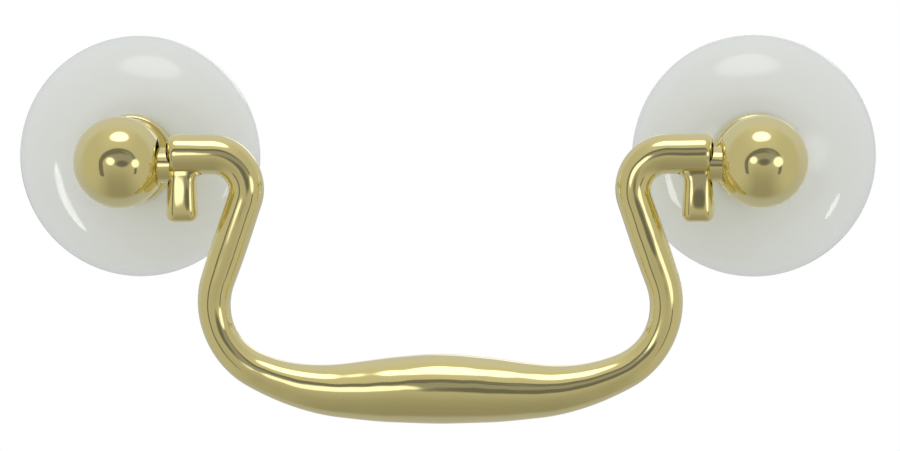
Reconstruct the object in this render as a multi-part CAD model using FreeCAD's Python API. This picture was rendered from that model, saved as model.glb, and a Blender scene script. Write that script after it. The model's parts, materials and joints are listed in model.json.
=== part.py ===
import FreeCAD, Part
import math
import os
from FreeCAD import Vector

# Swan-neck bail pull. A cast brass bail swings on two pins in ball posts. Each post clamps a domed
# porcelain rosette to the drawer front, drawn up by a machine screw from inside the drawer.
# Millimetres: X to the right, Z up, and the drawer face is the plane Y = 0, with the pull in front
# of it at negative Y. The origin lies midway between the two screws.

# Fixing
hole_centres = 76.2  # between the two screws, a three-inch pull
panel_thickness = 19.0  # drawer front that the screws are cut for

# Rosette
rosette_diameter = 30.0
rosette_thickness = 9.3  # drawer face to the seat under the collar
rim_round = 1.4  # turns the rim under to the flat back
seat_margin = 0.3  # flat seat that shows round the collar
foot_width = 4.0  # ring of the back that meets the drawer
foot_depth = 0.8  # shallow hollow inside that ring

# Post
ball_diameter = 11.0
neck_diameter = 6.6
neck_length = 3.2  # from the collar to the foot of the ball
neck_cove = 1.2  # hollow radius where the neck meets the collar
collar_diameter = 10.9
collar_thickness = 1.7
collar_round = 0.5
spigot_diameter = 6.4  # shank inside the rosette
spigot_play = 0.2  # radial room round the shank
spigot_setback = 0.4  # keeps the shank off the drawer, so that the collar clamps

# Pivot
pin_diameter = 4.25
pin_round = 0.4
bore_play = 0.63  # radial room round the pin
bore_mouth_round = 0.25
bore_past_centre = 1.0  # how far the blind bore runs beyond the middle of the ball
pin_gap = 0.25  # under the pin as the bail hangs
pin_end_gap = 0.8

# Screw
thread_diameter = 4.16  # number 8, as seen on the free length
pitch_diameter = 3.65  # engaged thread, drawn where its two halves meet
thread_play = 0.02
thread_engagement = 6.4  # past the drawer face
tap_runout = 3.0  # tapped hole beyond the screw's tip
drill_point = 118.0  # degrees
shoulder_gap = 0.1  # from the free thread to the post
screw_tip_chamfer = 0.5
head_diameter = 8.2
head_height = 2.4
head_edge = 0.5  # upright edge under the domed head
slot_width = 1.2
slot_depth = 1.1
cross_length = 4.4  # short slot across the long one

# Bail, from the pivot down to the grip
arm_gap = 0.2  # arm end to the side of the ball, along the pivot
arm_length = 5.3  # level part beside the ball
arm_rise = 1.3  # arm's middle line above the pivot
arm_diameter = 4.9  # at its free end
arm_end_round = 0.9
elbow_radius = 4.15
elbow_diameter = 4.75  # at the arm
leg_diameter = 4.2  # at the elbow
leg_splay = 19.0  # degrees out from straight down
leg_length = 9.95
corner_radius = 8.9
corner_diameter = 3.9
sweep_angle = 25.6  # degrees of the gentle curve into the grip
sweep_radius = 24.2
shoulder_diameter = 6.3  # where the sweep meets the grip
grip_diameter = 8.2  # at the middle
nib_width = 3.85  # across the tip
nib_depth = 3.4
nib_waist_width = 3.08  # where it leaves the arm
nib_waist_depth = 2.72
nib_overhang = 0.15  # past the arm's end
nib_reach = 6.7  # below the pivot
nib_crown = 0.6  # bulge of its front and back
nib_edge_round = 0.8
nib_tip_round = 0.7
nib_root_fillet = 0.8

# Places that follow from the sizes above
ball_radius = ball_diameter / 2
neck_radius = neck_diameter / 2
collar_front = rosette_thickness + collar_thickness
ball_rise = math.sqrt(ball_radius**2 - neck_radius**2)
ball_height = collar_front + neck_length + ball_rise
bore_radius = pin_diameter / 2 + bore_play
pin_sag = bore_play - pin_gap
post_x = hole_centres / 2
arm_end_x = post_x - ball_radius - arm_gap

axis_x = Vector(1, 0, 0)
axis_y = Vector(0, 1, 0)
axis_z = Vector(0, 0, 1)
origin = Vector(0, 0, 0)


def line(start, end):
    return Part.LineSegment(start, end).toShape()


def polyline(points):
    return [line(start, end) for start, end in zip(points, points[1:])]


def flat_arc(centre, radius, start, end):
    """Arc in the X-Y plane of an outline, from one angle in degrees to another."""
    angles = [math.radians(angle) for angle in (start, (start + end) / 2, end)]
    points = [centre + Vector(math.cos(a), math.sin(a), 0) * radius for a in angles]
    return Part.Arc(*points).toShape()


def turned(edges):
    """Solid of revolution about Y, from a closed outline of radius along X and height along Y."""
    outline = Part.Face(Part.Wire(edges))
    return outline.revolve(origin, axis_y, 360)


def on_drawer(shape, centre_x):
    """Stands a turned piece on the drawer face, its height towards the front."""
    shape.rotate(origin, axis_x, 180)
    shape.translate(Vector(centre_x, 0, 0))
    return shape


def make_rosette(centre_x):
    rim = rosette_diameter / 2
    bore = spigot_diameter / 2 + spigot_play
    seat = collar_diameter / 2 + seat_margin
    foot = rim - rim_round
    hollow = foot - foot_width
    dome_end = math.acos(seat / rim)
    dome_height = (rosette_thickness - rim_round) / math.sin(dome_end)
    dome = Part.Ellipse(Vector(0, rim_round, 0), rim, dome_height)
    back = [
        Vector(seat, rosette_thickness, 0),
        Vector(bore, rosette_thickness, 0),
        Vector(bore, foot_depth, 0),
        Vector(hollow, foot_depth, 0),
        Vector(hollow, 0, 0),
        Vector(foot, 0, 0),
    ]
    edges = polyline(back)
    edges.append(flat_arc(Vector(foot, rim_round, 0), rim_round, -90, 0))
    edges.append(Part.ArcOfEllipse(dome, 0, dome_end).toShape())
    return on_drawer(turned(edges), centre_x)


def drilled_hole(radius, depth):
    """Drill of the given depth, with its conical point, from the drawer face to the front."""
    point = radius / math.tan(math.radians(drill_point / 2))
    outline = [
        origin,
        Vector(radius, 0, 0),
        Vector(radius, depth, 0),
        Vector(0, depth + point, 0),
        origin,
    ]
    return turned(polyline(outline))


def make_post(side):
    """Turned post: spigot, collar, neck and ball, tapped from behind and cross-drilled for the pin."""
    spigot = spigot_diameter / 2
    collar = collar_diameter / 2
    ball = Vector(0, ball_height, 0)
    ball_foot = math.degrees(math.asin(ball_rise / ball_radius))
    edges = polyline([
        ball + axis_y * ball_radius,
        Vector(0, spigot_setback, 0),
        Vector(spigot, spigot_setback, 0),
        Vector(spigot, rosette_thickness, 0),
        Vector(collar, rosette_thickness, 0),
        Vector(collar, collar_front - collar_round, 0),
    ])
    rim = Vector(collar - collar_round, collar_front, 0)
    cove = Vector(neck_radius + neck_cove, collar_front, 0)
    neck = Vector(neck_radius, collar_front, 0)
    edges.append(flat_arc(rim - axis_y * collar_round, collar_round, 0, 90))
    edges.append(line(rim, cove))
    edges.append(flat_arc(cove + axis_y * neck_cove, neck_cove, 270, 180))
    edges.append(line(neck + axis_y * neck_cove, neck + axis_y * neck_length))
    edges.append(flat_arc(ball, ball_radius, -ball_foot, 90))
    post = turned(edges)
    post = post.cut(drilled_hole(pitch_diameter / 2 + thread_play, thread_engagement + tap_runout))
    bore_start = Vector(-ball_diameter, ball_height, 0)
    post = post.cut(Part.makeCylinder(bore_radius, ball_diameter + bore_past_centre, bore_start, axis_x))
    mouth = min(post.Edges, key=lambda edge: edge.CenterOfMass.x)
    post = post.makeFillet(bore_mouth_round, [mouth])
    if side < 0:
        post = post.mirror(origin, axis_x)
    return on_drawer(post, side * post_x)


def make_screw(centre_x):
    """Truss-head machine screw, driven from inside the drawer into the post."""
    thread = thread_diameter / 2
    pitch = pitch_diameter / 2
    shoulder = spigot_setback - shoulder_gap
    head = head_diameter / 2
    under_head = -panel_thickness
    dome = head_height - head_edge
    dome_radius = (head**2 + dome**2) / (2 * dome)
    dome_centre = Vector(0, under_head - head_height + dome_radius, 0)
    dome_angle = math.degrees(math.asin(head / dome_radius))
    edges = [flat_arc(dome_centre, dome_radius, -90, dome_angle - 90)]
    edges += polyline([
        Vector(head, under_head - head_edge, 0),
        Vector(head, under_head, 0),
        Vector(thread, under_head, 0),
        Vector(thread, shoulder, 0),
        Vector(pitch, shoulder, 0),
        Vector(pitch, thread_engagement - screw_tip_chamfer, 0),
        Vector(pitch - screw_tip_chamfer, thread_engagement, 0),
        Vector(0, thread_engagement, 0),
        Vector(0, under_head - head_height, 0),
    ])
    screw = turned(edges)
    for length, width in ((head_diameter, slot_width), (slot_width, cross_length)):
        corner = Vector(-length / 2, under_head - head_height, -width / 2)
        screw = screw.cut(Part.makeBox(length, slot_depth, width, corner))
    return on_drawer(screw, centre_x)


def bail_point(centre, radius, angle):
    """Point of an arc in the bail's own plane, X across and Z up."""
    return centre + Vector(math.cos(math.radians(angle)), 0, math.sin(math.radians(angle))) * radius


def round_section(centre, along, diameter):
    return Part.Wire(Part.makeCircle(diameter / 2, centre, along))


def bent_run(start, along, hub, angle, start_diameter, end_diameter):
    """Round bar that bends about a hub by an angle in degrees and tapers evenly on the way."""
    section = round_section(start, along, start_diameter)
    if start_diameter == end_diameter:
        return Part.Face(section).revolve(hub, axis_y, angle)
    halfway = FreeCAD.Rotation(axis_y, angle / 2)
    whole = FreeCAD.Rotation(axis_y, angle)
    end = hub + whole.multVec(start - hub)
    spine = Part.Wire(Part.Arc(start, hub + halfway.multVec(start - hub), end).toShape())
    horn = Part.BRepOffsetAPI.MakePipeShell(spine)
    horn.add(section)
    horn.add(round_section(end, whole.multVec(along), end_diameter))
    horn.build()
    horn.makeSolid()
    return horn.shape()


def straight_run(start, end, start_diameter, end_diameter):
    """Round bar between two points, tapered if its ends differ."""
    along = end - start
    if start_diameter == end_diameter:
        return Part.makeCylinder(start_diameter / 2, along.Length, start, along)
    return Part.makeCone(start_diameter / 2, end_diameter / 2, along.Length, start, along)


def make_arm(arm_start):
    """Level arm beside the ball, its free end rounded over."""
    end = arm_diameter / 2
    edges = polyline([
        Vector(end, arm_length - arm_end_round, 0),
        Vector(elbow_diameter / 2, 0, 0),
        origin,
        Vector(0, arm_length, 0),
        Vector(end - arm_end_round, arm_length, 0),
    ])
    shoulder = Vector(end - arm_end_round, arm_length - arm_end_round, 0)
    edges.append(flat_arc(shoulder, arm_end_round, 90, 0))
    arm = turned(edges)
    arm.rotate(origin, axis_z, -90)
    arm.translate(arm_start)
    return arm


def make_pin():
    """Pivot pin that stands out of the arm's end into the post."""
    start = arm_end_x - arm_end_round
    length = post_x + bore_past_centre - pin_end_gap - start
    pin = Part.makeCylinder(pin_diameter / 2, length, Vector(start, 0, 0), axis_x)
    tip = max(pin.Edges, key=lambda edge: edge.CenterOfMass.x)
    return pin.makeFillet(pin_round, [tip])


def nib_section(height, width, depth):
    """Oblong across the nib at a height above the pivot, its front and back crowned."""
    side = width / 2
    front = depth / 2
    edge = front - nib_crown * depth / nib_depth
    right_back = Vector(side, edge, 0)
    left_back = Vector(-side, edge, 0)
    left_front = Vector(-side, -edge, 0)
    right_front = Vector(side, -edge, 0)
    outline = Part.Wire([
        line(right_front, right_back),
        Part.Arc(right_back, axis_y * front, left_back).toShape(),
        line(left_back, left_front),
        Part.Arc(left_front, axis_y * -front, right_front).toShape(),
    ])
    outline.translate(Vector(arm_end_x + nib_overhang - nib_width / 2, 0, height))
    return outline


def make_nib():
    """Short beak that points down from the arm's end, waisted where it leaves the arm."""
    waist = nib_section(arm_rise, nib_waist_width, nib_waist_depth)
    foot = nib_section(-nib_reach, nib_width, nib_depth)
    nib = Part.makeLoft([waist, foot], True, True)
    upright = [edge for edge in nib.Edges if edge.BoundBox.ZLength > nib_reach]
    nib = nib.makeFillet(nib_edge_round, upright)
    tip = [edge for edge in nib.Edges if edge.BoundBox.ZMax < nib_tip_round - nib_reach]
    return nib.makeFillet(nib_tip_round, tip)


def seam(joined, first, second):
    """Edges of a joined solid where the skins of its two parts meet."""
    edges = []
    for edge in joined.Edges:
        middle = Part.Vertex(edge.valueAt((edge.FirstParameter + edge.LastParameter) / 2))
        if max(middle.distToShape(part.Shells[0])[0] for part in (first, second)) < 0.001:
            edges.append(edge)
    return edges


def make_arm_end(arm_start):
    """Arm and nib in one, with the soft root of a casting between them."""
    arm = make_arm(arm_start)
    nib = make_nib()
    joined = arm.fuse(nib)
    return joined.makeFillet(nib_root_fillet, seam(joined, arm, nib))


def make_bail():
    """Swan-neck bail in one casting: grip, sweeps, corners, legs, elbows, arms, nibs and pins."""
    arm_start = Vector(arm_end_x - arm_length, 0, arm_rise)
    elbow_hub = arm_start - axis_z * elbow_radius
    elbow_end = bail_point(elbow_hub, elbow_radius, 180 + leg_splay)
    leg = bail_point(origin, 1, leg_splay - 90)
    leg_end = elbow_end + leg * leg_length
    corner_hub = bail_point(leg_end, corner_radius, 180 + leg_splay)
    corner_turn = 90 + leg_splay - sweep_angle
    corner_end = bail_point(corner_hub, corner_radius, sweep_angle - 90)
    sweep_hub = bail_point(corner_end, sweep_radius, 90 + sweep_angle)
    sweep_end = bail_point(sweep_hub, sweep_radius, -90)
    sweep_start = bail_point(origin, -1, sweep_angle)
    half = [
        make_arm_end(arm_start),
        bent_run(arm_start, -axis_x, elbow_hub, -90 - leg_splay, elbow_diameter, leg_diameter),
        straight_run(elbow_end, leg_end, leg_diameter, corner_diameter),
        bent_run(leg_end, leg, corner_hub, corner_turn, corner_diameter, corner_diameter),
        bent_run(corner_end, sweep_start, sweep_hub, sweep_angle, corner_diameter, shoulder_diameter),
        make_pin(),
    ]
    shoulder = shoulder_diameter / 2
    edges = polyline([
        Vector(shoulder, sweep_end.x, 0),
        Vector(0, sweep_end.x, 0),
        Vector(0, -sweep_end.x, 0),
        Vector(shoulder, -sweep_end.x, 0),
    ])
    swell = Part.Arc(edges[-1].Vertexes[1].Point, axis_x * (grip_diameter / 2), edges[0].Vertexes[0].Point)
    grip = turned(edges + [swell.toShape()])
    grip.rotate(origin, axis_z, -90)
    grip.translate(Vector(0, 0, sweep_end.z))
    bail = grip.fuse(half + [piece.mirror(origin, axis_x) for piece in half]).removeSplitter()
    bail.translate(Vector(0, -ball_height, -pin_sag))
    return bail


os.makedirs("parts", exist_ok=True)
for name, side in (("left", -1), ("right", 1)):
    make_rosette(side * post_x).exportStep(f"parts/{name}_rosette.step")
    make_post(side).exportStep(f"parts/{name}_post.step")
Part.makeCompound([make_screw(side * post_x) for side in (-1, 1)]).exportStep("parts/fixing_screws.step")
make_bail().exportStep("parts/bail.step")
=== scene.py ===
import json
import math
import bmesh
import bpy
from mathutils import Matrix, Vector


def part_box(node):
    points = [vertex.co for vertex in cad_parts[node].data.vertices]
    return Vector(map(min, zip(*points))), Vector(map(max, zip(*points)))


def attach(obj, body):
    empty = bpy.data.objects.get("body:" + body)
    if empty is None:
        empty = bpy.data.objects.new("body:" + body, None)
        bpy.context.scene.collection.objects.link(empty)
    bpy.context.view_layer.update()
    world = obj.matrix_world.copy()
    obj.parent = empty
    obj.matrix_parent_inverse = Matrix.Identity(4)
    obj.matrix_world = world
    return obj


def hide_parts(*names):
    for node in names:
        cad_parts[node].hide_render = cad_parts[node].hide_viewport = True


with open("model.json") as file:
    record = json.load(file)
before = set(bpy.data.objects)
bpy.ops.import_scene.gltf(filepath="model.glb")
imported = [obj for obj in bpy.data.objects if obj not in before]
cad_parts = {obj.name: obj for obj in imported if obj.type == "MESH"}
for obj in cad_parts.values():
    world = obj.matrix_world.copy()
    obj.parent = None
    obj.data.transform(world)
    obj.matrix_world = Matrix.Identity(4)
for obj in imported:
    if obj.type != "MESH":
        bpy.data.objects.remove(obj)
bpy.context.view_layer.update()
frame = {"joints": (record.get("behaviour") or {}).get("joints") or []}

mm = 0.001
weldMm = 1e-4  # points this close are one point
nearMm = 1e-3  # points this close to a line or plane lie on it
screwHead = 4.1  # radius of a fixing screw's head, in mm
pivot = Vector(frame["joints"][0]["pos_m"]) / mm  # middle of the bail's pins, in mm
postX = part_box("fixing_screws")[1].x / mm - screwHead  # screw axis, half a head in from the end of the box
print("frame loaded, posts at", round(postX, 2), "mm either side")


def toLinear(hexColour):
    channels = [int(hexColour[i:i + 2], 16) / 255 for i in (0, 2, 4)]
    return [c / 12.92 if c <= 0.04045 else ((c + 0.055) / 1.055) ** 2.4 for c in channels] + [1.0]


def addNode(tree, kind, settings=None, inputs=None):
    node = tree.nodes.new(kind)
    for name, value in (settings or {}).items():
        setattr(node, name, value)
    for name, value in (inputs or {}).items():
        if isinstance(value, bpy.types.NodeSocket):
            tree.links.new(value, node.inputs[name])
        else:
            node.inputs[name].default_value = value
    return node


def newMaterial(name):
    # an empty node tree, and the place on the piece that patterns are drawn by
    material = bpy.data.materials.new(name)
    material.use_nodes = True
    tree = material.node_tree
    tree.nodes.clear()
    return material, tree, addNode(tree, "ShaderNodeTexCoord").outputs["Object"]


brassLook = {
    "bright": "F4E9AC",  # freshly polished, seen under lacquer
    "dull": "EDE0A6",  # where fingers and polish have left a film
    "filmMm": 9.0,  # size of the film's clouds
    "grainMm": 0.35,  # polishing marks, drawn coarser than they are so that they show
    "roughness": (0.05, 0.12),
    "rippleMm": 5.0,  # unevenness left by casting and hand polishing
    "rippleHeightMm": 0.4,
    "rippleStrength": 0.4,
}


def polishedBrass():
    # cast yellow brass, buffed and lacquered: a warm mirror, a little soft, that waves slightly
    look = brassLook
    material, tree, place = newMaterial("polishedBrass")
    film = addNode(tree, "ShaderNodeTexNoise",
                   inputs={"Vector": place, "Scale": 1 / (look["filmMm"] * mm), "Detail": 4.0})
    colour = addNode(tree, "ShaderNodeMix", {"data_type": "RGBA"},
                     {0: film.outputs["Fac"], 6: toLinear(look["bright"]), 7: toLinear(look["dull"])})
    grain = addNode(tree, "ShaderNodeTexNoise",
                    inputs={"Vector": place, "Scale": 1 / (look["grainMm"] * mm), "Detail": 2.0})
    low, high = look["roughness"]
    rough = addNode(tree, "ShaderNodeMapRange",
                    inputs={"Value": grain.outputs["Fac"], "To Min": low, "To Max": high})
    ripple = addNode(tree, "ShaderNodeTexNoise",
                     inputs={"Vector": place, "Scale": 1 / (look["rippleMm"] * mm), "Detail": 1.0})
    bump = addNode(tree, "ShaderNodeBump",
                   inputs={"Height": ripple.outputs["Fac"], "Strength": look["rippleStrength"],
                           "Distance": look["rippleHeightMm"] * mm})
    shader = addNode(tree, "ShaderNodeBsdfPrincipled",
                     inputs={"Base Color": colour.outputs[2], "Metallic": 1.0,
                             "Roughness": rough.outputs["Result"], "Normal": bump.outputs["Normal"]})
    addNode(tree, "ShaderNodeOutputMaterial", inputs={"Surface": shader.outputs["BSDF"]})
    return material


porcelainLook = {
    "glaze": "D7DAD7",
    "thinGlaze": "D3D6D2",  # where the glaze ran thin in firing
    "runMm": 14.0,
    "runHeightMm": 0.6,
    "runStrength": 0.04,
    "speckMm": 1.1,
    "roughness": (0.1, 0.2),
    "bisque": "D8D2C4",  # bare body on the foot
    "bareMm": (0.825, 0.33),  # the glaze runs out between these distances from the drawer face
    "bareRoughness": 0.85,
    "glowWeight": 0.4,  # thin enough to let light through, so shadows on it stay soft
    "glowMm": 4.0,
}


def glazedPorcelain():
    # pressed porcelain under a clear glaze: cool white, wet gloss, bare and chalky where it stood in the kiln
    look = porcelainLook
    material, tree, place = newMaterial("glazedPorcelain")
    run = addNode(tree, "ShaderNodeTexNoise",
                  inputs={"Vector": place, "Scale": 1 / (look["runMm"] * mm), "Detail": 3.0})
    glaze = addNode(tree, "ShaderNodeMix", {"data_type": "RGBA"},
                    {0: run.outputs["Fac"], 6: toLinear(look["glaze"]), 7: toLinear(look["thinGlaze"])})
    depth = addNode(tree, "ShaderNodeSeparateXYZ", inputs={"Vector": place})
    glazed, bareFrom = look["bareMm"]
    bare = addNode(tree, "ShaderNodeMapRange", {"interpolation_type": "SMOOTHSTEP"},
                   {"Value": depth.outputs["Y"], "From Min": -glazed * mm, "From Max": -bareFrom * mm})
    colour = addNode(tree, "ShaderNodeMix", {"data_type": "RGBA"},
                     {0: bare.outputs["Result"], 6: glaze.outputs[2], 7: toLinear(look["bisque"])})
    speck = addNode(tree, "ShaderNodeTexNoise",
                    inputs={"Vector": place, "Scale": 1 / (look["speckMm"] * mm), "Detail": 2.0})
    low, high = look["roughness"]
    gloss = addNode(tree, "ShaderNodeMapRange",
                    inputs={"Value": speck.outputs["Fac"], "To Min": low, "To Max": high})
    rough = addNode(tree, "ShaderNodeMix",
                    inputs={"Factor": bare.outputs["Result"], "A": gloss.outputs["Result"],
                            "B": look["bareRoughness"]})
    bump = addNode(tree, "ShaderNodeBump",
                   inputs={"Height": run.outputs["Fac"], "Strength": look["runStrength"],
                           "Distance": look["runHeightMm"] * mm})
    shader = addNode(tree, "ShaderNodeBsdfPrincipled",
                     inputs={"Base Color": colour.outputs[2], "Roughness": rough.outputs["Result"],
                             "Normal": bump.outputs["Normal"], "IOR": 1.5,
                             "Subsurface Weight": look["glowWeight"], "Subsurface Radius": (1, 1, 1),
                             "Subsurface Scale": look["glowMm"] * mm,
                             "Coat Weight": 0.6, "Coat Roughness": 0.06})
    addNode(tree, "ShaderNodeOutputMaterial", inputs={"Surface": shader.outputs["BSDF"]})
    return material


zincLook = {"bright": "D5D6D3", "dull": "BABCB8", "cloudMm": 1.6, "roughness": (0.22, 0.42)}


def zincPlatedSteel():
    # rolled steel screw with bright zinc: cold grey, slightly clouded
    look = zincLook
    material, tree, place = newMaterial("zincPlatedSteel")
    cloud = addNode(tree, "ShaderNodeTexNoise",
                    inputs={"Vector": place, "Scale": 1 / (look["cloudMm"] * mm), "Detail": 4.0})
    colour = addNode(tree, "ShaderNodeMix", {"data_type": "RGBA"},
                     {0: cloud.outputs["Fac"], 6: toLinear(look["bright"]), 7: toLinear(look["dull"])})
    low, high = look["roughness"]
    rough = addNode(tree, "ShaderNodeMapRange",
                    inputs={"Value": cloud.outputs["Fac"], "To Min": low, "To Max": high})
    shader = addNode(tree, "ShaderNodeBsdfPrincipled",
                     inputs={"Base Color": colour.outputs[2], "Metallic": 1.0,
                             "Roughness": rough.outputs["Result"]})
    addNode(tree, "ShaderNodeOutputMaterial", inputs={"Surface": shader.outputs["BSDF"]})
    return material


def newPiece(bm, name):
    # a bmesh in millimetres becomes an object in metres, its faces pointing out
    bmesh.ops.remove_doubles(bm, verts=bm.verts[:], dist=weldMm)
    bmesh.ops.recalc_face_normals(bm, faces=bm.faces[:])
    bmesh.ops.scale(bm, vec=(mm, mm, mm), verts=bm.verts[:])
    return newObject(bm, name)


def newObject(bm, name):
    mesh = bpy.data.meshes.new(name)
    bm.to_mesh(mesh)
    bm.free()
    thing = bpy.data.objects.new(name, mesh)
    bpy.context.scene.collection.objects.link(thing)
    return thing


def combine(piece, tool, operation):
    # joins or cuts one solid with another and keeps the result as a plain mesh
    change = piece.modifiers.new("combine", "BOOLEAN")
    change.object = tool
    change.operation = operation
    change.solver = "EXACT"
    result = piece.evaluated_get(bpy.context.evaluated_depsgraph_get())
    mesh = bpy.data.meshes.new_from_object(result)
    piece.modifiers.clear()
    piece.data = mesh
    bpy.data.objects.remove(tool)


def finishPiece(piece, node, body, material, creaseDeg):
    # smooth shading, sharp only where two faces really meet at an edge
    bm = bmesh.new()
    bm.from_mesh(piece.data)
    for face in bm.faces:
        face.smooth = True
    for edge in bm.edges:
        edge.smooth = edge.calc_face_angle(0) < math.radians(creaseDeg)
    bm.to_mesh(piece.data)
    bm.free()
    piece.data.materials.clear()
    piece.data.materials.append(material)
    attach(piece, body)
    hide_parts(node)


def startSection(bm, radius, height):
    return bmesh.ops.create_vert(bm, co=(radius, height, 0))["vert"][0]


def lineTo(bm, vert, radius, height):
    end = bmesh.ops.extrude_vert_indiv(bm, verts=[vert])["verts"][0]
    end.co = (radius, height, 0)
    return end


def arcTo(bm, vert, radius, height, degrees, steps):
    # swings the end of a section about a point of its plane
    out = bmesh.ops.spin(bm, geom=[vert], cent=(radius, height, 0), axis=(0, 0, 1),
                         angle=math.radians(degrees), steps=steps)
    return [part for part in out["geom_last"] if isinstance(part, bmesh.types.BMVert)][0]


def spinSection(bm, steps):
    # full turn about the section's own axis, Y
    bmesh.ops.spin(bm, geom=bm.verts[:] + bm.edges[:], cent=(0, 0, 0), axis=(0, 1, 0),
                   angle=math.tau, steps=steps, use_merge=True)


def standOnDrawer(bm, x):
    # section heights run out from the drawer face, towards -Y
    bmesh.ops.rotate(bm, verts=bm.verts[:], cent=(0, 0, 0), matrix=Matrix.Rotation(math.pi, 3, "X"))
    bmesh.ops.translate(bm, verts=bm.verts[:], vec=(x, 0, 0))


def roundEdges(bm, edges, offset, segments):
    bmesh.ops.bevel(bm, geom=edges, offset=offset, segments=segments, profile=0.5, affect="EDGES",
                    material=-1)


rosetteSizes = {
    "rim": 15.0, "thickness": 9.3, "rimRound": 1.4, "seat": 5.75, "bore": 3.4,
    "hollow": 9.6, "hollowDepth": 0.8, "domeSteps": 40, "rimSteps": 10, "turns": 160, "creaseDeg": 40,
}


def addRosette(name, x, material):
    # the dome is an arc from rim to seat, pressed flatter to the rosette's height
    size = rosetteSizes
    seatAngle = math.degrees(math.acos(size["seat"] / size["rim"]))
    domeHeight = (size["thickness"] - size["rimRound"]) / math.sin(math.radians(seatAngle))
    bm = bmesh.new()
    end = startSection(bm, size["rim"], 0)
    end = arcTo(bm, end, 0, 0, seatAngle, size["domeSteps"])
    bmesh.ops.scale(bm, vec=(1, domeHeight / size["rim"], 1), verts=bm.verts[:])
    bmesh.ops.translate(bm, vec=(0, size["rimRound"], 0), verts=bm.verts[:])
    end = lineTo(bm, end, size["bore"], size["thickness"])
    end = lineTo(bm, end, size["bore"], size["hollowDepth"])
    end = lineTo(bm, end, size["hollow"], size["hollowDepth"])
    end = lineTo(bm, end, size["hollow"], 0)
    end = lineTo(bm, end, size["rim"] - size["rimRound"], 0)
    arcTo(bm, end, size["rim"] - size["rimRound"], size["rimRound"], 90, size["rimSteps"])
    bmesh.ops.remove_doubles(bm, verts=bm.verts[:], dist=weldMm)
    spinSection(bm, size["turns"])
    standOnDrawer(bm, x)
    rosette = newPiece(bm, name + "Rosette")
    finishPiece(rosette, name + "_rosette", "mounted_posts", material, size["creaseDeg"])


postSizes = {
    "ball": 5.5, "ballSteps": 64, "bore": 2.755, "boreEnd": 1.0, "mouthRound": 0.3, "mouthSegments": 4,
    "neck": 3.3, "cove": 1.2, "coveSteps": 12,
    "collar": 5.45, "collarRound": 0.5, "collarSteps": 8, "collarBack": 9.3, "collarFront": 11.0,
    "spigot": 3.2, "spigotEnd": 0.4, "tapped": 1.845, "tapDepth": 9.4, "tapPoint": 10.5,
    "stemShort": 0.6,  # the stem stops in the solid of the ball, this far short of the bore
    "turns": 96, "creaseDeg": 32,
}


def addPost(name, side, material):
    size = postSizes
    ballHeight = -pivot.y
    # ball, spun about the pin's axis so that its bore is clean
    bm = bmesh.new()
    end = startSection(bm, 0, size["ball"])
    mouth = math.degrees(math.asin(size["bore"] / size["ball"]))
    end = arcTo(bm, end, 0, 0, mouth - 180, size["ballSteps"])
    end = lineTo(bm, end, size["bore"], size["boreEnd"])
    lineTo(bm, end, 0, size["boreEnd"])
    spinSection(bm, size["turns"])
    bmesh.ops.remove_doubles(bm, verts=bm.verts[:], dist=weldMm)
    lip = -size["ball"] * math.cos(math.radians(mouth))
    rim = [edge for edge in bm.edges if all(abs(vert.co.y - lip) < nearMm for vert in edge.verts)]
    roundEdges(bm, rim, size["mouthRound"], size["mouthSegments"])
    bmesh.ops.rotate(bm, verts=bm.verts[:], cent=(0, 0, 0),
                     matrix=Matrix.Rotation(side * -math.pi / 2, 3, "Z"))
    bmesh.ops.translate(bm, verts=bm.verts[:], vec=(side * postX, -ballHeight, 0))
    post = newPiece(bm, name + "Post")
    # stem: spigot, collar, cove and neck, turned about the screw's axis
    bm = bmesh.new()
    inside = ballHeight - size["bore"] - size["stemShort"]
    collarEdge = size["collarFront"] - size["collarRound"]
    end = startSection(bm, 0, size["tapPoint"])
    end = lineTo(bm, end, size["tapped"], size["tapDepth"])
    end = lineTo(bm, end, size["tapped"], size["spigotEnd"])
    end = lineTo(bm, end, size["spigot"], size["spigotEnd"])
    end = lineTo(bm, end, size["spigot"], size["collarBack"])
    end = lineTo(bm, end, size["collar"], size["collarBack"])
    end = lineTo(bm, end, size["collar"], collarEdge)
    end = arcTo(bm, end, size["collar"] - size["collarRound"], collarEdge, 90, size["collarSteps"])
    coveFoot = size["neck"] + size["cove"]
    end = lineTo(bm, end, coveFoot, size["collarFront"])
    end = arcTo(bm, end, coveFoot, size["collarFront"] + size["cove"], -90, size["coveSteps"])
    end = lineTo(bm, end, size["neck"], inside)
    lineTo(bm, end, 0, inside)
    spinSection(bm, size["turns"])
    standOnDrawer(bm, side * postX)
    combine(post, newPiece(bm, name + "Stem"), "UNION")
    finishPiece(post, name + "_post", "mounted_posts", material, size["creaseDeg"])


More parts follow.
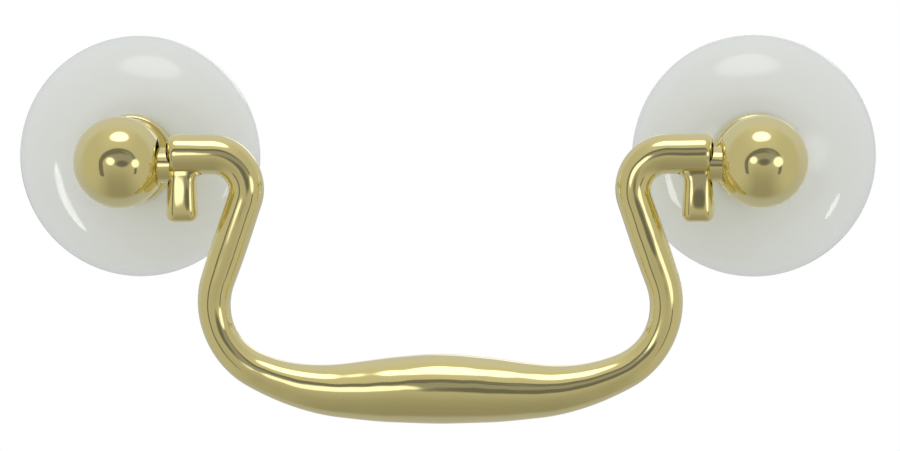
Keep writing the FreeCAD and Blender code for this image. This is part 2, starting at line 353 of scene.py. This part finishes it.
bailSizes = {
    "armEnd": 32.4, "armLength": 5.3, "armRise": 1.3, "armEndRound": 1.1, "armEndSegments": 8,
    "elbowRadius": 4.15, "legSplay": 19.0, "legLength": 9.95,
    "cornerRadius": 8.9, "sweepAngle": 25.6, "sweepRadius": 24.2,
    "thickness": {"arm": 4.9, "elbowStart": 4.75, "elbowEnd": 4.15, "leg": 4.25, "corner": 3.8,
                  "sweepStart": 4.3, "shoulder": 6.5, "swell": 7.75, "grip": 8.3},
    "bow": 0.25,  # the middle of the grip rises this much above its ends
    "nibWidth": 3.85, "nibDepth": 3.4, "nibReach": 6.7, "nibWaist": 0.8, "nibOverhang": 0.15,
    "nibSquare": 3.2, "nibTipRound": 1.0, "nibTipSegments": 6, "nibRoot": 0.9, "nibBelly": 0.14,
    "nibLap": 0.1,  # the root starts this far inside the arm
    "pin": 2.125, "pinEnd": 38.3, "pinRound": 0.4, "pinSegments": 4,
    "pinLap": 0.5,  # the pin starts this far inside the arm's end
    "sides": 48, "creaseDeg": 32,
    "rings": {"arm": 4, "elbow": 24, "leg": 12, "corner": 24, "sweep": 16, "grip": 16},
    "nibRootRings": 6, "nibRings": (0.3, 0.42, 0.54, 0.66, 0.76, 1),  # shares of the nib's free length
}


def pushRing(bm, edges, step, count):
    # carries the open end of the bar straight on
    for _ in range(count):
        grown = bmesh.ops.extrude_edge_only(bm, edges=edges)["geom"]
        verts = [part for part in grown if isinstance(part, bmesh.types.BMVert)]
        bmesh.ops.translate(bm, verts=verts, vec=step / count)
        edges = [part for part in grown
                 if isinstance(part, bmesh.types.BMEdge) and set(part.verts) <= set(verts)]
    return edges


def bendRing(bm, edges, hub, degrees, count):
    # carries the open end of the bar round a hub
    verts = list({vert for edge in edges for vert in edge.verts})
    out = bmesh.ops.spin(bm, geom=verts + edges, cent=hub, axis=(0, 1, 0),
                         angle=math.radians(degrees), steps=count)
    return [part for part in out["geom_last"] if isinstance(part, bmesh.types.BMEdge)]


def inBailPlane(degrees, length):
    angle = math.radians(degrees)
    return Vector((math.cos(angle), 0, math.sin(angle))) * length


def evenCurve(marks):
    # a smooth line through (place, width) marks that never overshoots them
    steps = [(nextWidth - width) / (nextPlace - place)
             for (place, width), (nextPlace, nextWidth) in zip(marks, marks[1:])]
    slopes = [steps[0]]
    for before, after in zip(steps, steps[1:]):
        slopes.append(2 * before * after / (before + after) if before * after > 0 else 0)
    slopes.append(0)

    def widthAt(place):
        i = max([0] + [k for k in range(len(steps)) if marks[k][0] <= place])
        (start, startWidth), (end, endWidth) = marks[i], marks[i + 1]
        share = (place - start) / (end - start)
        blend = share ** 2 * (3 - 2 * share)
        lean = slopes[i] * share * (1 - share) ** 2 - slopes[i + 1] * share ** 2 * (1 - share)
        return startWidth * (1 - blend) + endWidth * blend + (end - start) * lean
    return widthAt


def shapeBar(bm, gripHalf):
    # each ring takes its thickness from its place along the bar, evened out between the marks
    size = bailSizes
    bm.verts.ensure_lookup_table()
    rings = [bm.verts[i:i + size["sides"]] for i in range(0, len(bm.verts), size["sides"])]
    centres = [sum((vert.co for vert in ring), Vector()) / len(ring) for ring in rings]
    stations = [0.0]
    for before, after in zip(centres, centres[1:]):
        stations.append(stations[-1] + (after - before).length)
    ends = [0]
    for count in size["rings"].values():
        ends.append(ends[-1] + count)
    armEnd, elbowStart, elbowEnd, cornerStart, sweepStart, gripStart, middle = ends
    marks = {"arm": armEnd, "elbowStart": elbowStart, "elbowEnd": elbowEnd,
             "leg": (elbowEnd + cornerStart) // 2, "corner": (cornerStart + sweepStart) // 2,
             "sweepStart": sweepStart, "shoulder": gripStart,
             "swell": (gripStart + middle) // 2, "grip": middle}
    widthAt = evenCurve([(stations[ring], size["thickness"][name]) for name, ring in marks.items()])
    for ring, centre, station in zip(rings, centres, stations):
        bmesh.ops.scale(bm, vec=(widthAt(station) / 2,) * 3, space=Matrix.Translation(-centre), verts=ring)
    for ring, centre in zip(rings[gripStart:], centres[gripStart:]):
        share = min(1, centre.x / gripHalf)
        bmesh.ops.translate(bm, verts=ring, vec=(0, 0, size["bow"] * (1 + math.cos(math.pi * share)) / 2))
    return rings[0]


def addBail(material):
    # half the bar runs from the arm's end to the middle of the grip, and is mirrored
    size = bailSizes
    count = size["rings"]
    splay, sweep = size["legSplay"], size["sweepAngle"]
    armEnd = Vector((size["armEnd"], 0, size["armRise"]))
    armStart = Vector((size["armEnd"] - size["armLength"], 0, size["armRise"]))
    elbowHub = armStart - Vector((0, 0, size["elbowRadius"]))
    elbowEnd = elbowHub + inBailPlane(180 + splay, size["elbowRadius"])
    leg = inBailPlane(splay - 90, size["legLength"])
    cornerHub = elbowEnd + leg + inBailPlane(180 + splay, size["cornerRadius"])
    cornerEnd = cornerHub + inBailPlane(sweep - 90, size["cornerRadius"])
    sweepHub = cornerEnd + inBailPlane(90 + sweep, size["sweepRadius"])
    bm = bmesh.new()
    bmesh.ops.create_circle(bm, segments=size["sides"], radius=1.0)
    bmesh.ops.rotate(bm, verts=bm.verts[:], cent=(0, 0, 0), matrix=Matrix.Rotation(math.pi / 2, 3, "Y"))
    bmesh.ops.translate(bm, verts=bm.verts[:], vec=armEnd)
    edges = pushRing(bm, bm.edges[:], armStart - armEnd, count["arm"])
    edges = bendRing(bm, edges, elbowHub, -90 - splay, count["elbow"])
    edges = pushRing(bm, edges, leg, count["leg"])
    edges = bendRing(bm, edges, cornerHub, 90 + splay - sweep, count["corner"])
    edges = bendRing(bm, edges, sweepHub, sweep, count["sweep"])
    pushRing(bm, edges, Vector((-sweepHub.x, 0, 0)), count["grip"])
    firstRing = shapeBar(bm, sweepHub.x)
    # free end of the arm, closed and rounded over
    rim = [edge for edge in bm.edges if all(vert in firstRing for vert in edge.verts)]
    bmesh.ops.edgeloop_fill(bm, edges=rim)
    bmesh.ops.bevel(bm, geom=rim, offset=size["armEndRound"], segments=size["armEndSegments"], profile=0.5,
                    affect="EDGES", material=-1, clamp_overlap=True)
    bmesh.ops.mirror(bm, geom=bm.verts[:] + bm.edges[:] + bm.faces[:], axis="X", merge_dist=nearMm)
    bmesh.ops.translate(bm, verts=bm.verts[:], vec=pivot)
    bail = newPiece(bm, "brassBail")
    for side in (-1, 1):
        combine(bail, addNib(side), "UNION")
        combine(bail, addPin(side), "UNION")
    finishPiece(bail, "bail", "bail", material, size["creaseDeg"])


def addNib(side):
    # a thumb-like beak: squarish oval rings, waisted above, flared into the arm on its inner side
    size = bailSizes
    top, square = size["armRise"], size["nibSquare"]
    leaves = top - size["thickness"]["arm"] / 2 + size["nibLap"]  # where it leaves the arm
    free = leaves + size["nibReach"]
    rows = [top]
    rows += [leaves - size["nibRoot"] * i / size["nibRootRings"] for i in range(size["nibRootRings"] + 1)]
    rows += [leaves - free * share for share in size["nibRings"]]
    middle = size["armEnd"] + size["nibOverhang"] - size["nibWidth"] / 2
    bm = bmesh.new()
    bmesh.ops.create_circle(bm, segments=size["sides"], radius=1.0)
    edges = bm.edges[:]
    for above, below in zip(rows, rows[1:]):
        edges = pushRing(bm, edges, Vector((0, 0, below - above)), 1)
    for vert in bm.verts:
        height = top + vert.co.z
        grow = 1 - (1 - size["nibWaist"]) * (height + size["nibReach"]) / (size["nibReach"] + top)
        spread = grow * (abs(vert.co.x) ** square + abs(vert.co.y) ** square) ** (-1 / square)
        root = min(1, max(0, (leaves - height) / size["nibRoot"]))
        flare = size["nibRoot"] * max(0, -vert.co.x) * (1 - math.sqrt(1 - (1 - root) ** 2))
        along = min(1, max(0, (leaves - height) / free))
        belly = 1 + size["nibBelly"] * 4 * along * (1 - along)
        vert.co.x = side * (middle + vert.co.x * spread * size["nibWidth"] / 2 - flare)
        vert.co.y = vert.co.y * spread * belly * size["nibDepth"] / 2
        vert.co.z = height
    bmesh.ops.holes_fill(bm, edges=[edge for edge in bm.edges if edge.is_boundary], sides=0)
    tip = [edge for edge in bm.edges if all(vert.co.z < nearMm - size["nibReach"] for vert in edge.verts)]
    roundEdges(bm, tip, size["nibTipRound"], size["nibTipSegments"])
    bmesh.ops.translate(bm, verts=bm.verts[:], vec=pivot)
    return newPiece(bm, "nib")


def addPin(side):
    size = bailSizes
    start = size["armEnd"] - size["pinLap"]
    length = size["pinEnd"] - start
    bm = bmesh.new()
    bmesh.ops.create_cone(bm, cap_ends=True, segments=size["sides"], radius1=size["pin"], radius2=size["pin"],
                          depth=length)
    tip = [edge for edge in bm.edges if all(vert.co.z > 0 for vert in edge.verts)]
    roundEdges(bm, tip, size["pinRound"], size["pinSegments"])
    bmesh.ops.rotate(bm, verts=bm.verts[:], cent=(0, 0, 0),
                     matrix=Matrix.Rotation(side * math.pi / 2, 3, "Y"))
    bmesh.ops.translate(bm, verts=bm.verts[:], vec=pivot + Vector((side * (start + length / 2), 0, 0)))
    return newPiece(bm, "pin")


screwSizes = {
    "crest": 2.08, "root": 1.66, "pitch": 0.794,
    "crestFlat": 0.12,  # flat of the crest, as a share of the pitch
    "engaged": 1.825, "shoulder": 0.3, "tip": 6.4, "tipChamfer": 0.5, "panel": 19.0,
    "headHeight": 2.4, "headEdge": 0.5, "domeSteps": 12,
    "slotWidth": 1.2, "slotDepth": 1.1, "slotOver": 1.0, "cross": 4.4,
    "threadLap": 0.4,  # the thread starts this far inside the head
    "coreInset": 0.1,  # the core lies this far under the thread's root and end
    "stepsPerTurn": 24, "turns": 64, "creaseDeg": 25,
}


def addThread(x):
    # the free length, a real helix from under the head to the post
    size = screwSizes
    pitch, turn = size["pitch"], size["stepsPerTurn"]
    low, high = -size["panel"] - size["threadLap"], size["shoulder"]
    count = math.ceil((high - low) / pitch) + 2
    bm = bmesh.new()
    end = startSection(bm, size["root"], low - pitch)
    end = lineTo(bm, end, size["crest"], low - (1 + size["crestFlat"]) / 2 * pitch)
    end = lineTo(bm, end, size["crest"], low - (1 - size["crestFlat"]) / 2 * pitch)
    lineTo(bm, end, size["root"], low)
    bmesh.ops.spin(bm, geom=bm.verts[:] + bm.edges[:], cent=(0, 0, 0), axis=(0, 1, 0),
                   dvec=(0, pitch / turn, 0), angle=math.tau * count, steps=turn * count)
    bmesh.ops.remove_doubles(bm, verts=bm.verts[:], dist=nearMm)
    for height, facing in ((low, -1), (high, 1)):
        bmesh.ops.bisect_plane(bm, geom=bm.verts[:] + bm.edges[:] + bm.faces[:], plane_co=(0, height, 0),
                               plane_no=(0, facing, 0), clear_outer=True)
        rim = [edge for edge in bm.edges
               if edge.is_boundary and all(abs(vert.co.y - height) < weldMm for vert in edge.verts)]
        bmesh.ops.holes_fill(bm, edges=rim, sides=0)
    standOnDrawer(bm, x)
    return newPiece(bm, "thread")


def addScrewCore(x):
    # head and engaged end, joined by the thread between them
    size = screwSizes
    top = -size["panel"] - size["headHeight"]
    dome = size["headHeight"] - size["headEdge"]
    domeRadius = (screwHead ** 2 + dome ** 2) / (2 * dome)
    domeTurn = math.degrees(math.asin(screwHead / domeRadius))
    core, coreEnd = size["root"] - size["coreInset"], size["shoulder"] - size["coreInset"]
    bm = bmesh.new()
    end = startSection(bm, 0, top)
    end = arcTo(bm, end, 0, top + domeRadius, domeTurn, size["domeSteps"])
    end = lineTo(bm, end, screwHead, -size["panel"])
    end = lineTo(bm, end, core, -size["panel"])
    end = lineTo(bm, end, core, coreEnd)
    end = lineTo(bm, end, size["engaged"], coreEnd)
    end = lineTo(bm, end, size["engaged"], size["tip"] - size["tipChamfer"])
    end = lineTo(bm, end, size["engaged"] - size["tipChamfer"], size["tip"])
    lineTo(bm, end, 0, size["tip"])
    spinSection(bm, size["turns"])
    standOnDrawer(bm, x)
    return newPiece(bm, "screwCore")


def addSlot(x, length, width):
    size = screwSizes
    bm = bmesh.new()
    bmesh.ops.create_cube(bm, size=1.0)
    bmesh.ops.scale(bm, vec=(length, 2 * size["slotDepth"], width), verts=bm.verts[:])
    bmesh.ops.translate(bm, verts=bm.verts[:], vec=(x, size["panel"] + size["headHeight"], 0))
    return newPiece(bm, "slot")


def addScrews(material):
    size = screwSizes
    screws = None
    for side in (-1, 1):
        x = side * postX
        core = addScrewCore(x)
        combine(core, addSlot(x, 2 * screwHead + size["slotOver"], size["slotWidth"]), "DIFFERENCE")
        combine(core, addSlot(x, size["slotWidth"], size["cross"]), "DIFFERENCE")
        combine(core, addThread(x), "UNION")
        if screws:
            combine(screws, core, "UNION")
        else:
            screws = core
    screws.name = "fixingScrews"
    finishPiece(screws, "fixing_screws", "mounted_posts", material, size["creaseDeg"])


brass = polishedBrass()
porcelain = glazedPorcelain()
zinc = zincPlatedSteel()
for name, side in (("left", -1), ("right", 1)):
    addRosette(name, side * postX, porcelain)
    addPost(name, side, brass)
print("rosettes and posts turned")
addBail(brass)
print("bail swept")
addScrews(zinc)
print("screws threaded")


floorLook = {"dropM": 0.14, "reachM": 6.0, "pale": "F2F2F0", "roughness": 0.9, "whiteM": (0.35, 0.6)}


def addFloor():
    # plain pale floor well below the pull: it takes the pull's shadow, and further off is white to the camera
    look = floorLook
    bm = bmesh.new()
    bmesh.ops.create_grid(bm, x_segments=1, y_segments=1, size=look["reachM"] / 2)
    floor = newObject(bm, "floor")
    floor.location.z = -look["dropM"]
    floor.visible_glossy = False
    material, tree, place = newMaterial("paleFloor")
    matt = addNode(tree, "ShaderNodeBsdfPrincipled",
                   inputs={"Base Color": toLinear(look["pale"]), "Roughness": look["roughness"]})
    white = addNode(tree, "ShaderNodeEmission", inputs={"Strength": 1.0})
    off = addNode(tree, "ShaderNodeVectorMath", {"operation": "LENGTH"}, {0: place})
    near, far = look["whiteM"]
    fade = addNode(tree, "ShaderNodeMapRange", {"interpolation_type": "SMOOTHSTEP"},
                   {"Value": off.outputs["Value"], "From Min": near, "From Max": far})
    rays = addNode(tree, "ShaderNodeLightPath")
    plain = addNode(tree, "ShaderNodeMath", {"operation": "MULTIPLY"},
                    {0: rays.outputs["Is Camera Ray"], 1: fade.outputs["Result"]})
    above = addNode(tree, "ShaderNodeMixShader",
                    inputs={0: plain.outputs["Value"], 1: matt.outputs["BSDF"], 2: white.outputs["Emission"]})
    # seen from below the floor is clear, so that it never hides the pull
    under = addNode(tree, "ShaderNodeNewGeometry").outputs["Backfacing"]
    clear = addNode(tree, "ShaderNodeBsdfTransparent")
    surface = addNode(tree, "ShaderNodeMixShader",
                      inputs={0: under, 1: above.outputs["Shader"], 2: clear.outputs["BSDF"]})
    addNode(tree, "ShaderNodeOutputMaterial", inputs={"Surface": surface.outputs["Shader"]})
    floor.data.materials.append(material)


# light by direction: what lights the white pieces, and what the brass mirrors in front, beside and behind
worldLook = {
    "fill": 1.02, "frontFill": 0.16, "frontPower": 4.0,  # the white pieces get a little more from the front
    "front": ((0.0, 0.31), (0.2, 0.36), (0.5, 0.5), (1.0, 0.62)),  # from straight down to straight up
    "back": ((0.0, 0.45), (0.5, 0.58), (1.0, 0.66)),
    "side": 0.52,
    "frontTint": (1.05, 1.02, 0.86), "backTint": (0.99, 1.0, 1.04),
    # where each part of the room passes into the next, along the unit direction
    "besideAt": (0.2, 0.85), "behindAt": (0.0, 0.35), "backdropAt": (0.94, 0.985),
}


def fillRamp(ramp, levels, tint):
    stops = ramp.color_ramp.elements
    while len(stops) < len(levels):
        stops.new(1.0)
    for stop, (position, level) in zip(stops, levels):
        stop.position = position
        stop.color = [level * part for part in tint] + [1]


def addWorld():
    # white for the camera; in the brass a warm grey room in front, a pale one behind, and straight behind
    # the pull the same white as the camera sees
    look = worldLook
    white = (1, 1, 1, 1)
    world = bpy.data.worlds.new("studio")
    bpy.context.scene.world = world
    world.use_nodes = True
    tree = world.node_tree
    tree.nodes.clear()
    direction = addNode(tree, "ShaderNodeTexCoord").outputs["Generated"]
    parts = addNode(tree, "ShaderNodeSeparateXYZ", inputs={"Vector": direction})
    height = addNode(tree, "ShaderNodeMapRange", inputs={"Value": parts.outputs["Z"], "From Min": -1.0})
    front = addNode(tree, "ShaderNodeValToRGB", inputs={"Fac": height.outputs["Result"]})
    fillRamp(front, look["front"], look["frontTint"])
    back = addNode(tree, "ShaderNodeValToRGB", inputs={"Fac": height.outputs["Result"]})
    fillRamp(back, look["back"], look["backTint"])
    sideGlow = [look["side"] * part for part in look["frontTint"]] + [1]
    aside = addNode(tree, "ShaderNodeMath", {"operation": "ABSOLUTE"}, {0: parts.outputs["X"]})
    mirrored = front.outputs["Color"]
    for along, bounds, shade in ((aside.outputs["Value"], "besideAt", sideGlow),
                                 (parts.outputs["Y"], "behindAt", back.outputs["Color"]),
                                 (parts.outputs["Y"], "backdropAt", white)):
        low, high = look[bounds]
        share = addNode(tree, "ShaderNodeMapRange", {"interpolation_type": "SMOOTHSTEP"},
                        {"Value": along, "From Min": low, "From Max": high})
        mirrored = addNode(tree, "ShaderNodeMix", {"data_type": "RGBA"},
                           {0: share.outputs["Result"], 6: mirrored, 7: shade}).outputs[2]
    # the white pieces are lit from all round, and more from the front
    ahead = addNode(tree, "ShaderNodeMapRange",
                    inputs={"Value": parts.outputs["Y"], "From Min": 0.0, "From Max": -1.0})
    beam = addNode(tree, "ShaderNodeMath", {"operation": "POWER"},
                   {0: ahead.outputs["Result"], 1: look["frontPower"]})
    fill = addNode(tree, "ShaderNodeMapRange",
                   inputs={"Value": beam.outputs["Value"], "To Min": look["fill"],
                           "To Max": look["fill"] + look["frontFill"]})
    # which rays see what: the mirror only those that haven't lit a dull surface first
    rays = addNode(tree, "ShaderNodeLightPath")
    first = addNode(tree, "ShaderNodeMath", {"operation": "LESS_THAN"},
                    {0: rays.outputs["Diffuse Depth"], 1: 0.5})
    mirror = addNode(tree, "ShaderNodeMath", {"operation": "MULTIPLY"},
                     {0: rays.outputs["Is Glossy Ray"], 1: first.outputs["Value"]})
    unseen = addNode(tree, "ShaderNodeMix", {"data_type": "RGBA"},
                     {0: mirror.outputs["Value"], 6: fill.outputs["Result"], 7: mirrored})
    direct = addNode(tree, "ShaderNodeMath", {"operation": "MAXIMUM"},
                     {0: rays.outputs["Is Camera Ray"], 1: rays.outputs["Is Transmission Ray"]})
    seen = addNode(tree, "ShaderNodeMix", {"data_type": "RGBA"},
                   {0: direct.outputs["Value"], 6: unseen.outputs[2], 7: white})
    light = addNode(tree, "ShaderNodeBackground", inputs={"Color": seen.outputs[2], "Strength": 1.0})
    addNode(tree, "ShaderNodeOutputWorld", inputs={"Surface": light.outputs["Background"]})


# lamps and cards stand by their bearing from the pull: degrees aside and up, and metres away
softboxRow = {"name": "overheadSoftbox", "side": 0, "rise": 65, "away": 0.7, "size": (0.5, 0.34),
              "watts": 0.15}
# strips that only show in the glaze, as two thin glints
glintRows = [
    {"name": "leftStrip", "side": -61, "rise": -25, "away": 1.2, "size": (0.16, 0.9), "watts": 2.2},
    {"name": "rightStrip", "side": 68, "rise": -30, "away": 1.2, "size": (0.12, 0.34), "watts": 0.6},
]
# cards that only the reflections see, their span in degrees too
cardRows = [
    {"name": "softboxFace", "side": 0, "rise": 69, "away": 0.7, "span": (43, 34), "level": 1.9, "soft": 0.3},
    {"name": "leftPanel", "side": -19, "rise": 7, "away": 0.36, "span": (27, 23), "level": 1.4, "soft": 0.4},
    {"name": "rightPanel", "side": 43, "rise": 1, "away": 0.36, "span": (27, 25), "level": 1.4, "soft": 0.4},
    {"name": "lensFlag", "side": 10, "rise": 1, "away": 0.36, "span": (38, 23), "level": 0.16, "soft": 0.55},
    {"name": "dimWall", "side": 7, "rise": 14, "away": 0.6, "span": (76, 40), "level": 0.33, "soft": 0.4},
    {"name": "rearPanel", "side": 168, "rise": 20, "away": 0.8, "span": (38, 18), "level": 1.3, "soft": 0.4},
    {"name": "rearFlag", "side": 186, "rise": -6, "away": 0.9, "span": (60, 16), "level": 0.24, "soft": 0.6},
]
archRow = {"name": "darkArch", "side": 5, "away": 0.55, "halfWidth": 47, "top": 36, "band": 15, "foot": -35,
           "level": 0.18}
cardSides = 48


def facePull(holder, row):
    turn, lift = math.radians(row["side"]), math.radians(row["rise"])
    bearing = Vector((math.sin(turn) * math.cos(lift), -math.cos(turn) * math.cos(lift), math.sin(lift)))
    holder.location = pivot * mm + bearing * row["away"]
    holder.rotation_euler = (-bearing).to_track_quat("-Z", "Y").to_euler()


def addLamp(row):
    lamp = bpy.data.lights.new(row["name"], "AREA")
    lamp.shape = "ELLIPSE"
    lamp.size, lamp.size_y = row["size"]
    lamp.energy = row["watts"]
    holder = bpy.data.objects.new(row["name"], lamp)
    facePull(holder, row)
    bpy.context.scene.collection.objects.link(holder)
    return holder


def addLamps():
    addLamp(softboxRow).visible_glossy = False
    glazed = bpy.data.collections.new("glazedPieces")
    for name in ("leftRosette", "rightRosette"):
        glazed.objects.link(bpy.data.objects[name])
    for row in glintRows:
        strip = addLamp(row)
        strip.visible_diffuse = False
        strip.light_linking.receiver_collection = glazed


def dressCard(card, level, reach=None, soft=0):
    # an even glow, that fades out over the soft share of its reach where it has one
    material, tree, place = newMaterial(card.name)
    surface = addNode(tree, "ShaderNodeEmission", inputs={"Strength": level}).outputs["Emission"]
    if reach:
        share = addNode(tree, "ShaderNodeVectorMath", {"operation": "DIVIDE"}, {0: place, 1: reach})
        out = addNode(tree, "ShaderNodeVectorMath", {"operation": "LENGTH"}, {0: share.outputs["Vector"]})
        fade = addNode(tree, "ShaderNodeMapRange", {"interpolation_type": "SMOOTHSTEP"},
                       {"Value": out.outputs["Value"], "From Min": 1 - soft, "From Max": 1.0})
        clear = addNode(tree, "ShaderNodeBsdfTransparent").outputs["BSDF"]
        surface = addNode(tree, "ShaderNodeMixShader",
                          inputs={0: fade.outputs["Result"], 1: surface, 2: clear}).outputs["Shader"]
    addNode(tree, "ShaderNodeOutputMaterial", inputs={"Surface": surface})
    card.data.materials.append(material)
    card.visible_camera = card.visible_diffuse = card.visible_shadow = False


def addCards():
    for row in cardRows:
        bm = bmesh.new()
        bmesh.ops.create_circle(bm, cap_ends=True, segments=cardSides, radius=1.0)
        width, height = [row["away"] * math.tan(math.radians(span / 2)) for span in row["span"]]
        bmesh.ops.scale(bm, vec=(width, height, 1), verts=bm.verts[:])
        card = newObject(bm, row["name"])
        facePull(card, row)
        dressCard(card, row["level"], (width, height, 1), row["soft"])


def addArch():
    # a flat half ring on two legs, that the balls mirror as a dark arch
    row = archRow
    keys = ("side", "halfWidth", "top", "band", "foot")
    aside, halfWidth, top, band, foot = [row["away"] * math.tan(math.radians(row[key])) for key in keys]
    bm = bmesh.new()
    bmesh.ops.create_circle(bm, segments=cardSides, radius=1.0)
    bmesh.ops.rotate(bm, verts=bm.verts[:], cent=(0, 0, 0), matrix=Matrix.Rotation(math.pi / 2, 3, "X"))
    bmesh.ops.delete(bm, geom=[vert for vert in bm.verts if vert.co.z < -weldMm], context="VERTS")
    bmesh.ops.scale(bm, vec=(halfWidth, 1, top), verts=bm.verts[:])
    for end in [vert for vert in bm.verts if abs(vert.co.z) < weldMm]:
        leg = bmesh.ops.extrude_vert_indiv(bm, verts=[end])["verts"]
        bmesh.ops.translate(bm, verts=leg, vec=(0, 0, foot))
    grown = bmesh.ops.extrude_edge_only(bm, edges=bm.edges[:])["geom"]
    inside = [part for part in grown if isinstance(part, bmesh.types.BMVert)]
    bmesh.ops.scale(bm, vec=(1 - band / halfWidth, 1, 1), verts=inside)
    bmesh.ops.scale(bm, vec=(1, 1, 1 - band / top), verts=[vert for vert in inside if vert.co.z > -weldMm])
    bmesh.ops.translate(bm, verts=bm.verts[:], vec=(aside, -row["away"], 0))
    dressCard(newObject(bm, row["name"]), row["level"])


cameraSizes = {
    "place": (17.3, -380.3, 15.8), "target": (1.27, -18.6, -7.55), "rollDeg": -0.17,
    "focalPx": 3058.0, "framePx": 900, "sensorMm": 36.0, "clipM": 0.01,
}


def addCamera():
    size = cameraSizes
    camera = bpy.data.cameras.new("camera")
    camera.sensor_fit = "HORIZONTAL"
    camera.sensor_width = size["sensorMm"]
    camera.lens = size["sensorMm"] * size["focalPx"] / size["framePx"]
    camera.clip_start = size["clipM"]
    holder = bpy.data.objects.new("camera", camera)
    place, target = Vector(size["place"]) * mm, Vector(size["target"]) * mm
    turn = (target - place).to_track_quat("-Z", "Y").to_matrix()
    holder.rotation_euler = (turn @ Matrix.Rotation(math.radians(size["rollDeg"]), 3, "Z")).to_euler()
    holder.location = place
    bpy.context.scene.collection.objects.link(holder)
    bpy.context.scene.camera = holder


addFloor()
addWorld()
addLamps()
addCards()
addArch()
addCamera()
bpy.context.scene.view_settings.view_transform = "Standard"
print("stage, lamps and camera set")
